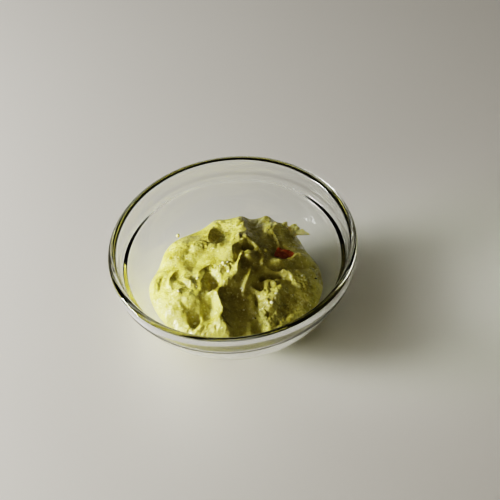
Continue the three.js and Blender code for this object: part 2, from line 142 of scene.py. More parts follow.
def lumps(x, y, layer):
    """Smooth noise from -1 to 1, one lump to a unit of x and y."""
    i, j = np.floor(x), np.floor(y)
    u, v = (s * s * (3 - 2 * s) for s in (x - i, y - j))
    near = scramble(i, j, layer) * (1 - u) + scramble(i + 1, j, layer) * u
    far = scramble(i, j + 1, layer) * (1 - u) + scramble(i + 1, j + 1, layer) * u
    return 2 * (near * (1 - v) + far * v) - 1


def grains(x, y, layer):
    """Rounded clods, about one to a unit square: 0.35 on a clod's top, less down to its creases."""
    i, j = np.floor(x), np.floor(y)
    nearest = np.full(np.shape(x), 9.0)
    for di in (-1, 0, 1):
        for dj in (-1, 0, 1):
            px = i + di + scramble(i + di, j + dj, layer)
            py = j + dj + scramble(i + di, j + dj, layer + 50)
            nearest = np.minimum(nearest, (px - x) ** 2 + (py - y) ** 2)
    return 0.35 - nearest


# ---- Forms of the heap ----

# Where the tide line rises or falls: (angle in degrees, rise, half width in degrees).
TIDE_MARKS = [
    (98, 1.4, 7), (80, 0.7, 6), (63, 2.3, 7), (114, -0.6, 10), (138, 1.2, 15), (158, -1.7, 13),
    (178, 2, 24), (48, 1.8, 7), (22, -2.2, 12), (2, -0.6, 12), (-20, 0.8, 16), (-60, 0.6, 20),
    (-100, -0.4, 20), (238, 0.6, 14),
]

# Soft swellings: (x, y, half length, half width, turn in degrees, height).
SWELLS = [
    (28, 15, 11, 12, 0, 0.6),  # right shoulder
    (-25, 20, 11, 12, 30, 1.4),  # left shoulder
    (-33, -14, 8, 10, -30, 2.2),  # smooth left front
    (-26, -11.8, 5, 3.4, -16, 1.7),  # big knob left of the middle
    (-20.4, -10, 4.4, 4, -30, 1.6),
    (-23, -2.8, 4.4, 1.7, -58, 1.7),  # and the narrow one behind it
    (-28.6, -7.4, 2.4, 1.2, 20, 0.8),
    (-29.4, -17.5, 2.4, 3, 0, 0.7),
    (-20.6, -14, 3.4, 2.4, 0, 1),
    (6, 10, 7, 7, 0, 0.6),  # under the summit's ring
    (-17.6, -6, 1.6, 3, 0, 0.8),
    (-7.6, -0.2, 2.2, 2, 20, 1.1),  # knobs on the crest's left flank
    (-4.8, 2.4, 2.4, 2.1, 0, 1.2),
    (-6.6, -4, 2.6, 1.6, 20, 0.5),
    (-3.4, -1.4, 1.4, 1.8, 0, 0.8),
    (-18.5, -29, 3.2, 2.6, 0, 1),
    (-13, -32, 3.4, 3, 0, 1.7),
    (12.6, -34.6, 1.6, 2.4, 0, 0.9),  # crumbly right front
    (17.3, -33.6, 2.4, 2, 0, 1.4),
    (23.5, -30.5, 4, 1.8, 30, 1.2),
    (29, -26, 5, 3, 40, 1),
    (31, -11, 6, 8, 10, 1.2),
    (7.8, 4.6, 3.4, 4, 0, 2.3),  # the ring's front, and the lip of its crater
    (17.4, 8, 1.9, 3.4, 0, 1.2),  # boss between the ring and the tomato
    (8, 16.4, 2.6, 2, 0, 1),
    (5.4, 18.4, 1.6, 2.4, 0, 0.7),
    (-0.6, 30, 2.8, 6, 0, 1.2),
    (4, 19.6, 3.8, 4, 0, 1),
    (-16, 33, 7, 6, 20, -2.2),  # flatter outside the scoop's brim
    (-25, -33, 6, 4, -30, 0.8),
    (26, 24, 5, 7, 20, 0.9),
    (35, -4, 3, 5, 10, 0.8),
    (32.2, 3.8, 1.5, 1.6, 0, 1.8),  # tip of the lip in front of the tomato
]

# Pits: (x, y, half length, half width, turn in degrees, depth, softness of the brim).
PITS = [
    (-2.9, 26.6, 5.1, 8.4, 4, 5, 0.26),  # scoop behind the summit
    (-12.9, 29, 1, 1.7, 10, 1.5, 0.28),
    (-16.8, 11, 7.8, 5.4, 14, 3.4, 0.4),  # shallow dish on the left
    (-21.5, 19, 1.6, 1.7, 0, 1.7, 0.34),
    (-28.8, 3.2, 2.4, 1.7, 34, 1.9, 0.42),
    (-20.9, -0.2, 1.2, 1.3, 0, 1.8, 0.28),
    (-11.8, -6, 2.5, 6, 4, 5.8, 0.26),  # long pit left of the crest
    (-7, -16.4, 0.9, 2.6, 12, 1.3, 0.35),
    (7.8, 11.4, 2.8, 2, -8, 8, 0.12),  # the crater inside the ring
    (1.4, 4.4, 0.9, 3.2, -14, 1.6, 0.3),  # and the slit beside it
    (23.8, 7.4, 6.4, 4.8, -30, 3.4, 0.18),  # the cleft that holds the tomato
    (16.6, -7, 5.2, 2.1, -4, 6.4, 0.12),  # deep pit right of the tongue
    (10.6, -10.8, 2.4, 2.8, 20, 4.6, 0.18),
    (23.8, -10.4, 2.8, 1.5, -42, 2.6, 0.18),
    (20.6, -24.4, 4.8, 6, -25, 2.4, 0.32),
    (-23, -23.6, 2.2, 3.8, -4, 4.6, 0.18),  # deep pit at the left front
    (-19.6, -22.6, 2.4, 3, 0, 1.8, 0.3),
    (-14.4, -20.8, 3.9, 4.6, 10, 4.8, 0.26),
    (-12.8, -31.6, 0.9, 1.2, 0, 1.2, 0.3),
    (8.2, -18.7, 0.8, 1.5, 0, 1.6, 0.26),
    (-31, -5.5, 2.6, 1.3, 0, 1, 0.3),
    (-26.8, -15.6, 0.9, 1.6, 30, 0.9, 0.4),
    (14.4, 30, 3, 10, 0, 3.2, 0.3),  # valley between the two back ridges
    (19.5, 17.5, 1.2, 2.2, 0, 1, 0.3),
    (29, -31, 2.4, 1.6, -30, 1.2, 0.3),
    (13.4, -27.6, 1.8, 0.8, 10, 1.8, 0.26),
    (16.6, -31.6, 1.2, 1.6, 10, 1.8, 0.26),
    (7, -33.6, 1.8, 3, 10, 2, 0.26),
]

# Folds and grooves along a route: (route, height, width on the left and on the right of the way it
# runs, how rounded its crest is, how long its ends taper). 1 is a round crest, less a keen one.
FOLDS = [
    # the ridges at the back, and the brims of the scoop
    ([(8.4, 16), (7.8, 20), (7.6, 25), (7.2, 31), (7, 37), (7, 43)], 2.2, 8, 2, 0.95, 3),
    ([(18.6, 22), (20.6, 28), (21.8, 37), (22, 43)], 1.7, 5, 4.5, 0.55, 4),
    ([(-12, 20.4), (-8, 19), (-3.5, 17.4), (1, 17)], 1.4, 0.9, 6, 0.8, 3),
    ([(-11.6, 22), (-11, 29), (-9.4, 35)], 1.9, 2.5, 1.1, 0.8, 3),
    # the outer lobe on the left, its groove and the lobe inside it
    ([(-39, 10), (-41, 4), (-41.4, -4)], 0.5, 2, 1.8, 0.9, 3),
    ([(-34.2, 6.6), (-36.6, 4.6), (-37.6, 1.6), (-38.6, -3.4)], -0.9, 1, 1, 1, 3),
    ([(-27.8, 8.4), (-30.8, 6), (-32.8, 1.4), (-33, -3.4), (-31.4, -6)], 1.2, 2, 1.2, 0.8, 3),
    ([(-21.6, 18), (-23.2, 15.6), (-25.4, 12)], -0.8, 2.4, 1.1, 0.9, 2),
    ([(-20.4, 0.8), (-15.4, 3.4), (-12.4, 6.4)], 0.9, 0.7, 0.9, 0.7, 2),
    # the main crest, from the ring down to the left front
    ([(2.7, 3.8), (2, 0.6), (0.6, -3.4), (-2.8, -7.8), (-7.8, -12)], 3.3, 4, 3.6, 0.85, 4),
    ([(-8.6, -11), (-11.6, -12.4), (-14.8, -13.6)], 2.6, 1.3, 1.6, 0.7, 1.6),
    ([(-7, -10.6), (-9.6, -14), (-9, -19), (-8.6, -24), (-10, -28), (-8.8, -31.4), (-6.8, -37)],
     4.2, 2.4, 3.6, 0.85, 3),
    # the spooned slope of the tongue, with the thin ribs on its right
    ([(-1, -9), (0.5, -16), (2, -24), (2.4, -37)], -2.8, 7, 6, 1.2, 5),
    ([(7.4, -12), (8.2, -18), (8, -26), (7, -33)], -2, 2.4, 1.8, 0.9, 3),
    ([(4.8, -27), (3.8, -31), (2.8, -37)], 1, 1.2, 1.7, 0.8, 2),
    ([(7.6, -0.6), (7.2, -3.6), (6, -8), (4.2, -11), (2.8, -13.6), (2.2, -17)],
     1.6, 0.9, 1.8, 0.8, 1.5),
    ([(4.4, 7.2), (3.2, 2.8), (1.6, -1), (0, -4)], 1.3, 0.8, 0.9, 0.8, 1.5),
    # the ring round the crater, its right leg and its two knobs
    ([(0.4, 5), (0.2, 9), (1.2, 13), (4.4, 15), (8.4, 14.8), (11.6, 13)], 1.8, 3, 1.3, 0.75, 2.5),
    ([(9.4, 14.6), (12.4, 12), (13.4, 8), (13.6, 5)], 1, 1.8, 1.9, 1, 2),
    ([(13.8, 7), (14.2, 3), (14.2, -2)], 1.3, 2.2, 1.2, 0.85, 2),
    ([(0.6, 5), (-0.1, 9), (0.6, 14)], 1.5, 9, 1.2, 0.9, 3),
    ([(14, -2), (16.6, -3.4), (20, -4.2), (24.6, -4.4), (30, -6), (36, -6)], 1.1, 1, 2.4, 0.8, 3),
    ([(1.3, 15.6), (1.3, 19), (1.4, 22)], 1, 0.8, 0.7, 0.9, 1.2),
    ([(4.2, 15.6), (4.3, 19), (4.4, 22)], 0.8, 1, 0.7, 0.9, 1.2),
    # the terrace on the right, with its lip in front of the tomato and the hollow under the lip
    ([(17, -0.4), (21, 0.2), (25.4, 1), (29, 3.2), (31.6, 5.4), (35, 3.4), (39, 1.6)],
     3.4, 10, 1, 0.8, 5),
    ([(16, -3), (22, -2.8), (27, -1.4), (31, -0.8), (35, -2.2)], -2.8, 1.6, 2.4, 1, 5),
    ([(22, -3.4), (25, -6), (28, -9.6)], 1.2, 3, 0.9, 0.8, 1.5),
    # the crumbly ridge at the right front
    ([(22.4, -12.4), (21.4, -15), (20, -17.6), (18, -20.4), (16, -24), (14.8, -27)],
     3.2, 2.8, 3.6, 0.85, 2.5),
    ([(22.8, -6.4), (23, -8.6), (23, -11)], 1, 2.2, 0.7, 0.8, 1.2),
    ([(31, -4), (34, -13), (30, -23)], 0.9, 2, 2, 0.8, 3),
    ([(36.5, 0), (39, -8), (36.5, -17)], 0.9, 1.6, 1.6, 0.8, 3),
    ([(21.4, 23), (22.2, 18), (24, 12.4)], 0.8, 0.6, 0.8, 0.8, 2),
    ([(24, 14), (26, 20), (30, 28)], 0.6, 1.5, 1.2, 0.8, 2),
]

ROUTE_STEPS = 5  # straight pieces to each stretch of a fold's route
ROUTE_BLEND = 0.5  # how far apart two stretches of a route still blend
FOLD_REACH = 5  # how many of its widths away a fold still counts
SIDE_BLEND = 0.15  # how softly the width on one side passes into the other's
TAPER_START = 0.35  # what a fold's end keeps of its taper

# Patches where the pulp is torn and grainy: (x, y, half length, half width, turn, how grainy).
GRAINY = [
    (-14, 21, 5.6, 4.2, -10, 1), (-9, 30, 6, 4, 0, 0.3), (1, 30, 5, 8, 0, 0.6),
    (-32, 18, 8, 10, 30, 0.35), (34, -14, 8, 12, 0, 0.3), (-8, 0, 6, 5, 30, 1),
    (-24, -5, 8, 5, 10, 0.6), (15, -20, 6, 11, -25, 1), (14, -30, 10, 5, 10, 0.9),
    (28, -27, 8, 5, -35, 0.7), (-22, -30, 6, 5, -20, 0.5), (-8.4, -29, 3, 8, 0, 0.8),
    (11, 20, 9, 5, 0, 0.35), (27, 18, 9, 11, 0, 0.35), (22, -9, 7, 4, -10, 0.5),
]

# Patches that a spoon has smeared smooth: (x, y, half length, half width, turn, how smooth).
SMEARED = [
    (1, -22, 8, 15, 6, 1), (-34, -17, 8, 13, 20, 0.4), (9, -1, 9, 6, 0, 0.5),
    (-4, 10, 8, 6, 20, 0.5), (-20, 10.5, 9, 7, 14, 2), (20, -24, 5, 6, -30, 0.6),
]

# Scraped streaks: (x, y, half length, half width, turn, depth).
STREAKS = [
    (33, -12, 8, 14, 8, 0.22),
    (25, 24, 9, 14, -14, 0.2),
    (1, -22, 5, 12, 0, 0.08),
    (-33, -18, 9, 12, 20, 0.08),
]
SCRATCH = (0.9, 7)  # size of one scratch, along its patch and across it

LOW_ROLL = (0.5, 4.2)  # height and length of the slow swell under all the forms
WANDER = [(0.5, 5), (0.3, 1.9)]  # how far the forms' edges stray, and over what length
CLOD_STRAY = (0.9, 2.3)  # the same for the creases between clods
MOTTLED = (0.25, 2.6)  # how much the graininess varies, and over what length
ROUGHNESS = (0.35, 0.65, 0.6)  # of plain pulp, what tearing adds and what smearing takes away

# The pulp's own surface, one layer a row: (shape, size of one lump, noise layer, then its depth
# everywhere, what roughness adds, what tearing adds, and whether its creases stray).
PULP_LAYERS = [
    (grains, 3.1, 14, 0, 0.8, 0, True),
    (grains, 1.6, 8, 0, 0.5, 0, True),
    (lumps, 2.7, 16, 0.22, 0, 0, False),
    (lumps, 1.5, 6, 0.1, 0.16, 0, False),
    (lumps, 0.7, 7, 0.04, 0.1, 0, False),
    (grains, 1.1, 15, 0, 0, 0.45, False),
    (grains, 0.6, 9, 0, 0, 0.25, False),
]


def tide_height(angle):
    """Height of the line where the dip meets the glass, at an angle in radians."""
    z = np.full(np.shape(angle), float(TIDE_HEIGHT))
    for at, rise, half_width in TIDE_MARKS:
        off = (np.degrees(angle) - at + 180) % 360 - 180
        z += rise * np.exp(-((off / half_width) ** 2))
    return z


def turned(x, y, form):
    """Places along and across a form, from its middle and its turn."""
    a = math.radians(form[4])
    dx, dy = x - form[0], y - form[1]
    return dx * math.cos(a) + dy * math.sin(a), dy * math.cos(a) - dx * math.sin(a)


def spread(x, y, form):
    """Distance from a form's middle, counted in its own half length and half width."""
    along, across = turned(x, y, form)
    return np.hypot(along / form[2], across / form[3])


def smooth_route(route):
    """A route's points with a rounded line put through them."""
    ends = [route[0], *route, route[-1]]
    points = []
    for p0, p1, p2, p3 in zip(ends, ends[1:], ends[2:], ends[3:]):
        a, b, c, d = (np.array(p, float) for p in (p0, p1, p2, p3))
        points += [
            b + t * (c - a) / 2 + t * t * (a - 2.5 * b + 2 * c - d / 2)
            + t**3 * (1.5 * (b - c) + (d - a) / 2)
            for t in np.arange(ROUTE_STEPS) / ROUTE_STEPS
        ]
    return np.array([*points, route[-1]], float)


def fold_height(x, y, fold):
    """Height of one fold over all the points, worked out only near its route."""
    route, height, left, right, rounded, ends = fold
    points = smooth_route(route)
    reach = FOLD_REACH * max(left, right)
    low, high = points.min(axis=0) - reach, points.max(axis=0) + reach
    near = (x > low[0]) & (x < high[0]) & (y > low[1]) & (y < high[1])
    px, py = x[near], y[near]
    steps = np.hypot(*np.diff(points, axis=0).T)
    starts = np.concatenate([[0], np.cumsum(steps)])
    total = starts[-1]
    pieces = []
    for start, end, step, before in zip(points, points[1:], steps, starts):
        tx, ty = (end - start) / step
        along = np.clip((px - start[0]) * tx + (py - start[1]) * ty, 0, step)
        ex, ey = px - start[0] - along * tx, py - start[1] - along * ty
        pieces.append((np.hypot(ex, ey), tx * ey - ty * ex, before + along))
    distances, *sides_and_places = (np.array(values) for values in zip(*pieces))
    nearest = distances.min(axis=0)
    weights = np.exp((nearest - distances) / ROUTE_BLEND)
    side, place = ((weights * each).sum(axis=0) / weights.sum(axis=0) for each in sides_and_places)
    lean = side / (np.abs(side) + SIDE_BLEND * (nearest + 0.3))
    width = (left + right) / 2 + lean * (left - right) / 2
    taper = [1 - np.exp(-((s / ends + TAPER_START) ** 2)) for s in (place, total - place)]
    out = np.zeros(np.shape(x))
    out[near] = height * taper[0] * taper[1] * np.exp(-((nearest / width) ** (2 * rounded)))
    return out


def dome_height(x, y):
    """The heap without its folds: a dome that leans to the summit and rolls down to the glass."""
    tide = tide_height(np.arctan2(y, x))
    wall = cavity_radius(tide)
    from_axis = np.minimum(1, np.hypot(x, y) / wall)
    dx, dy = x - SUMMIT[0], y - SUMMIT[1]
    from_summit = np.hypot(dx, dy) + 1e-6
    b = (SUMMIT[0] * dx + SUMMIT[1] * dy) / from_summit
    reach = np.sqrt(b * b - (SUMMIT[0] ** 2 + SUMMIT[1] ** 2 - wall * wall)) - b
    share = np.minimum(1, from_summit / reach)
    return (
        TIDE_HEIGHT + (tide - TIDE_HEIGHT) * share**2
        + (SUMMIT_RISE - EDGE_ROUND) * (1 - share**SUMMIT_POWER)
        + EDGE_ROUND * (1 - from_axis**EDGE_POWER)
    )


def patches(x, y, forms):
    """Sum of soft-edged patches, each with its own strength."""
    return sum(form[5] * np.exp(-(spread(x, y, form) ** 2)) for form in forms)


def graininess(x, y):
    """From 0 on smeared pulp to 1 on torn, grainy pulp."""
    change, length = MOTTLED
    return np.clip(patches(x, y, GRAINY) + change * lumps(x / length, y / length, 20), 0, 1)


def strays(x, y, size, layers):
    """Shifts in x and in y of up to size[0], over lengths of size[1]."""
    shift, length = size
    return np.array([shift * lumps(x / length, y / length, layer) for layer in layers])


def fine_relief(x, y):
    """The pulp's own surface: clods and crumbs, torn grains and scraped streaks."""
    torn = graininess(x, y)
    smeared = np.clip(patches(x, y, SMEARED), 0, 1)
    plain, from_tearing, from_smearing = ROUGHNESS
    rough = plain + from_tearing * torn - from_smearing * smeared * (1 - torn)
    straight = np.array([x, y])
    bent = straight + strays(x, y, CLOD_STRAY, (12, 13))
    relief = 0
    for shape, size, layer, depth, from_rough, from_torn, strayed in PULP_LAYERS:
        px, py = (bent if strayed else straight) / size
        relief = relief + (depth + from_rough * rough + from_torn * torn) * shape(px, py, layer)
    for form in STREAKS:
        along, across = turned(x, y, form)
        scratches = lumps(along / SCRATCH[0], across / SCRATCH[1], 11)
        relief = relief + form[5] * scratches * np.exp(-(spread(x, y, form) ** 4))
    return relief


def heap_height(x, y, fine=True):
    """Height of the heap's top at each point."""
    wander = sum(strays(x, y, size, (1 + k, 3 + k)) for k, size in enumerate(WANDER))
    wx, wy = np.array([x, y]) + wander
    height, length = LOW_ROLL
    relief = height * lumps(x / length + 9, y / length, 5) + patches(wx, wy, SWELLS)
    for form in PITS:
        relief = relief - form[5] / (1 + np.exp((spread(wx, wy, form) - 1) / form[6]))
    for fold in FOLDS:
        relief = relief + fold_height(wx, wy, fold)
    if fine:
        relief = relief + fine_relief(x, y)
    from_axis = np.hypot(x, y) / cavity_radius(tide_height(np.arctan2(y, x)))
    near_wall = np.clip((from_axis - CALM_FROM) / (1 - CALM_FROM), 0, 1)
    return dome_height(x, y) + relief * (1 - CALM_SHARE * near_wall**2)


# ---- Meshes ----


def mesh_piece(name, points, faces):
    """A new object from points in millimetres and the faces over them."""
    mesh = bpy.data.meshes.new(name)
    mesh.from_pydata((np.asarray(points, float) * MM).tolist(), [], faces)
    mesh.validate()
    mesh.shade_smooth()
    piece = bpy.data.objects.new(name, mesh)
    bpy.context.scene.collection.objects.link(piece)
    return piece


def skin_faces(counts):
    """Triangles between rings of so many points each, and shut at single end points."""
    faces, offset = [], 0
    for here, there in zip(counts, counts[1:]):
        base = offset + here
        last_i, last_j = (count if count > 1 else 0 for count in (here, there))
        i = j = 0
        while i < last_i or j < last_j:
            if j < last_j and (i == last_i or (j + 1) * here <= (i + 1) * there):
                faces.append((offset + i % here, base + j % there, base + (j + 1) % there))
                j += 1
            else:
                faces.append((offset + i % here, base + j % there, offset + (i + 1) % here))
                i += 1
        offset += here
    return faces


def skinned(rings):
    """One skin over a row of rings that starts and ends with a single point."""
    return np.concatenate(rings), skin_faces([len(points) for points in rings])


def ring(count, radius, z):
    """A level ring of points; radius and z may be one number or one for each point."""
    angle = 2 * math.pi * np.arange(count) / count
    return np.stack([radius * np.cos(angle), radius * np.sin(angle), z + 0 * angle], 1)


ROUNDING_STEPS = 4


def rounded_line(corners):
    """A line through (r, z, rounding) corners, with each corner rounded off by an arc-like bend."""
    line = []
    for k, (r, z, size) in enumerate(corners):
        here = np.array([r, z], float)
        if not size:
            line.append(here)
            continue
        ways = [np.array(corners[n][:2], float) - here for n in (k - 1, k + 1)]
        cut = [here + way * min(size / np.linalg.norm(way), 0.48) for way in ways]
        for t in np.linspace(0, 1, ROUNDING_STEPS + 1):
            line.append((1 - t) ** 2 * cut[0] + 2 * t * (1 - t) * here + t * t * cut[1])
    return line


def bowl_profile():
    """The bowl's section from the middle of its foot, over the rim, to the middle of its floor."""
    collar_foot = BOWL_HEIGHT - COLLAR_DEPTH
    inner_rim = RIM_RADIUS - COLLAR_THICKNESS
    foot = rounded_line([
        (0, PUNT_DEPTH, 0),
        (FOOT_RADIUS - FOOT_FLAT_WIDTH - 2, PUNT_DEPTH, 1.6),
        (FOOT_RADIUS - FOOT_FLAT_WIDTH, 0, 0.8),
        (FOOT_RADIUS - 0.6, 0, 0.9),
        (body_radius(2), 2, 0),
    ])
    body = [np.array([body_radius(z), z]) for z in np.linspace(3, BODY_TOP - 1, WALL_STEPS)]
    collar = rounded_line([
        (body_radius(BODY_TOP - 1), BODY_TOP - 1, 0),
        (BODY_TOP_RADIUS, BODY_TOP, 0.5),
        (RIM_RADIUS - 0.9, collar_foot + 0.3, 0.9),
        (RIM_RADIUS, BOWL_HEIGHT - 4, 2.5),
        (RIM_RADIUS - 0.2, BOWL_HEIGHT, 1.7),
        (inner_rim + 0.5, BOWL_HEIGHT, 1.6),
        (inner_rim - 0.4, BOWL_HEIGHT - 5, 2),
        (inner_rim - 1, collar_foot + 0.6, 1.2),
        (inner_rim - 1.7, LEDGE_HEIGHT + 0.1, 0.6),
        (LEDGE_RADIUS + 0.1, LEDGE_HEIGHT, 0.7),
        (cavity_radius(LEDGE_HEIGHT - 2), LEDGE_HEIGHT - 2, 0),
    ])[1:]
    wall = np.linspace(LEDGE_HEIGHT - 3, FLOOR_THICKNESS + 1.5, WALL_STEPS)
    cavity = [np.array([cavity_radius(z), z]) for z in wall]
    floor = rounded_line([
        (cavity_radius(FLOOR_THICKNESS + 1), FLOOR_THICKNESS + 1, 0),
        (FLOOR_RADIUS - 2, FLOOR_THICKNESS, 2.5),
        (0, FLOOR_THICKNESS, 0),
    ])
    return foot + body + collar + cavity + floor


def glass_mesh():
    """The bowl turned from its section, wound so that its faces look outwards."""
    profile = bowl_profile()
    counts = [1] + [BOWL_SEGMENTS] * (len(profile) - 2) + [1]
    points, faces = skinned([ring(count, r, z) for count, (r, z) in zip(counts, profile)])
    return points, [tuple(reversed(face)) for face in faces]


# The rings under the heap, down along the glass: (height, how many points).
UNDERSIDE = [(19, 360), (16, 240), (13, 180), (10.5, 144), (8.5, 120), (7, 96), (6, 84)]


def heap_mesh():
    """The heap: its top from the axis out to the glass, then its underside along the glass."""
    rings = [np.zeros((1, 3))]
    for k in range(1, HEAP_RINGS + 1):
        count = 6 * k
        tide = tide_height(2 * math.pi * np.arange(count) / count)
        rings.append(ring(count, (cavity_radius(tide) + GLASS_BITE) * k / HEAP_RINGS, tide))
    inner = sum(len(points) for points in rings[:-1])
    rings += [ring(count, cavity_radius(z) + GLASS_BITE, z) for z, count in UNDERSIDE]
    floor = FLOOR_THICKNESS - GLASS_BITE
    rings += [
        ring(72, FLOOR_RADIUS - 0.4, floor + 0.5), ring(48, FLOOR_RADIUS - 3, floor),
        ring(24, FLOOR_RADIUS / 2, floor), ring(1, 0, floor),
    ]
    points, faces = skinned(rings)
    points[:inner, 2] = heap_height(points[:inner, 0], points[:inner, 1])
    return points, faces


def curve_points(route, shares):
    """Places and directions on a rounded line through three points."""
    a, b, c = (np.array(p, float) for p in route)
    t = np.asarray(shares, float)[:, None]
    middle = 2 * b - (a + c) / 2
    places = (1 - t) ** 2 * a + 2 * t * (1 - t) * middle + t * t * c
    ways = 2 * (1 - t) * (middle - a) + 2 * t * (c - middle)
    return places, ways / np.linalg.norm(ways, axis=1)[:, None]


def chip_mesh(route, flat, wide, thick, sections, sides, rough, layer, lean=0.8):
    """A flattened chip along a curve through three points, running to a point at both ends.

    flat: the way its flat side looks. wide, thick: half sizes. rough: unevenness, from noise
    `layer`. lean: below 1 the chip is widest near its start.
    """
    thin = np.array(flat, float) / np.linalg.norm(flat)
    shares = np.arange(1, sections) / sections
    places, ways = curve_points(route, shares)
    rings = [np.array([route[0]], float)]
    angle = 2 * math.pi * np.arange(sides) / sides
    for share, place, way in zip(shares, places, ways):
        across = np.cross(way, thin)
        across /= np.linalg.norm(across)
        swell = math.sin(math.pi * share**lean) ** 0.55
        uneven = 1 + rough * lumps(6 * share + np.cos(angle), np.sin(angle) * 1.5, layer)
        rings.append(
            place + (np.cos(angle) * wide * swell * uneven)[:, None] * across
            + (np.sin(angle) * thick * swell * uneven)[:, None] * thin
        )
    return skinned([*rings, np.array([route[2]], float)])


PEBBLE_RINGS = 5
PEBBLE_SIDES = 10


def pebble_mesh(centre, size, turn, layer, rough=0.35):
    """A small uneven lump of three half sizes, turned by a matrix and set at a place."""
    polar = math.pi * np.arange(PEBBLE_RINGS + 2) / (PEBBLE_RINGS + 1)
    counts = [1, *[PEBBLE_SIDES] * PEBBLE_RINGS, 1]
    ball, faces = skinned([ring(n, math.sin(a), math.cos(a)) for n, a in zip(counts, polar)])
    x, y, z = ball.T
    uneven = 1 + rough * lumps(x * 1.3 + z * 2.1 + layer, y * 1.3 - z, layer)
    placed = (ball * uneven[:, None] * np.array(size)) @ np.array(turn).T + np.array(centre)
    return placed, faces


def gathered(parts):
    """Several meshes as one list of points and one list of faces."""
    points, faces, offset = [], [], 0
    for some, theirs in parts:
        points.append(some)
        faces += [tuple(i + offset for i in face) for face in theirs]
        offset += len(some)
    return np.concatenate(points), faces


def facing(normal, spin):
    """A turn matrix whose third axis is the normal."""
    return Vector(normal).to_track_quat("Z", "Y").to_matrix() @ Matrix.Rotation(spin, 3, "Z")


# ---- Materials ----


def new_group(name, inputs, outputs):
    """A shader node group with sockets of the kinds given, its inputs and its output node."""
    group = bpy.data.node_groups.new(name, "ShaderNodeTree")
    for in_out, sockets in (("INPUT", inputs), ("OUTPUT", outputs)):
        for socket, kind in sockets.items():
            group.interface.new_socket(socket, in_out=in_out, socket_type="NodeSocket" + kind)
    given = group.nodes.new("NodeGroupInput").outputs
    return group, given, group.nodes.new("NodeGroupOutput")


def feed(tree, node, values):
    """Set a node's sockets to numbers or colours, or link them to the sockets that are given."""
    for name, value in values.items():
        socket = node.inputs[name]
        if isinstance(value, bpy.types.NodeSocket):
            tree.links.new(value, socket)
        elif socket.type == "RGBA":
            socket.default_value = (*value[:3], 1)
        else:
            socket.default_value = value


def fed_node(tree, kind, values):
    node = tree.nodes.new("ShaderNode" + kind)
    feed(tree, node, values)
    return node


def noise(tree, vector, scale, detail, roughness):
    given = {"Vector": vector, "Scale": scale, "Detail": detail, "Roughness": roughness}
    return fed_node(tree, "TexNoise", given).outputs["Fac"]


def reckoned(tree, operation, one, other):
    node = fed_node(tree, "Math", {0: one, 1: other})
    node.operation = operation
    return node.outputs[0]


def stretched(tree, value, low, high, to_low=0.0, to_high=1.0):
    """Map Range from low..high to to_low..to_high; the last two may be sockets."""
    given = {"Value": value, "From Min": low, "From Max": high, "To Min": to_low, "To Max": to_high}
    return fed_node(tree, "MapRange", given).outputs["Result"]


def mixed(tree, factor, one, other):
    """A mix of two colours, which a Mix node takes in its sockets 6 and 7 and gives out in 2."""
    node = tree.nodes.new("ShaderNodeMix")
    node.data_type = "RGBA"
    feed(tree, node, {"Factor": factor, 6: one, 7: other})
    return node.outputs[2]


def mottle_group():
    """Uneven colour of soft plant flesh: cloudy patches and scattered pale bits."""
    group, given, made = new_group("Flesh mottle", {
        "Vector": "Vector",
        "Main Color": "Color", "Deep Color": "Color", "Pale Color": "Color",
        "Patch Scale": "Float", "Bit Scale": "Float",
    }, {"Color": "Color"})
    clouds = noise(group, given["Vector"], given["Patch Scale"], 4, 0.6)
    bits = noise(group, given["Vector"], given["Bit Scale"], 3, 0.6)
    deep = stretched(group, clouds, 0.62, 0.36)
    pale = stretched(group, bits, 0.56, 0.72)
    darker = mixed(group, deep, given["Main Color"], given["Deep Color"])
    feed(group, made, {"Color": mixed(group, pale, darker, given["Pale Color"])})
    return group


def moist_group():
    """A wet film that lies in patches: smooth where it is, duller where the flesh has dried."""
    group, given, made = new_group("Moist film", {
        "Vector": "Vector",
        "Wet Roughness": "Float", "Dry Roughness": "Float",
        "Patch Scale": "Float", "Grain Scale": "Float",
    }, {"Roughness": "Float", "Film": "Float", "Height": "Float"})
    film = stretched(group, noise(group, given["Vector"], given["Patch Scale"], 3, 0.6), 0.42, 0.62)
    feed(group, made, {
        "Roughness": stretched(group, film, 0, 1, given["Dry Roughness"], given["Wet Roughness"]),
        "Film": film,
        "Height": noise(group, given["Vector"], given["Grain Scale"], 3, 0.65),
    })
    return group


def placed_group(tree, name, make, values):
    """A node group's outputs in a tree; the group is made the first time it is asked for."""
    node = tree.nodes.new("ShaderNodeGroup")
    node.node_tree = bpy.data.node_groups.get(name) or make()
    feed(tree, node, values)
    return node.outputs


def new_material(name):
    """A material with its Principled shader, and the object's own coordinates."""
    material = bpy.data.materials.new(name)
    material.use_nodes = True
    tree = material.node_tree
    shader = tree.nodes["Principled BSDF"]
    place = tree.nodes.new("ShaderNodeTexCoord").outputs["Object"]
    return material, tree, shader, place


def bumps(tree, height, depth):
    """The normal that a height from 0 to 1 gives, where 1 is `depth` metres."""
    given = {"Strength": 1, "Distance": depth, "Height": height}
    return fed_node(tree, "Bump", given).outputs["Normal"]


LAMP_TINT = (0.9, 0.92, 0.88)  # what the glass leaves of a lamp's light
RIPPLE_SHARE = 0.08  # how deep the small ripples are against the waves


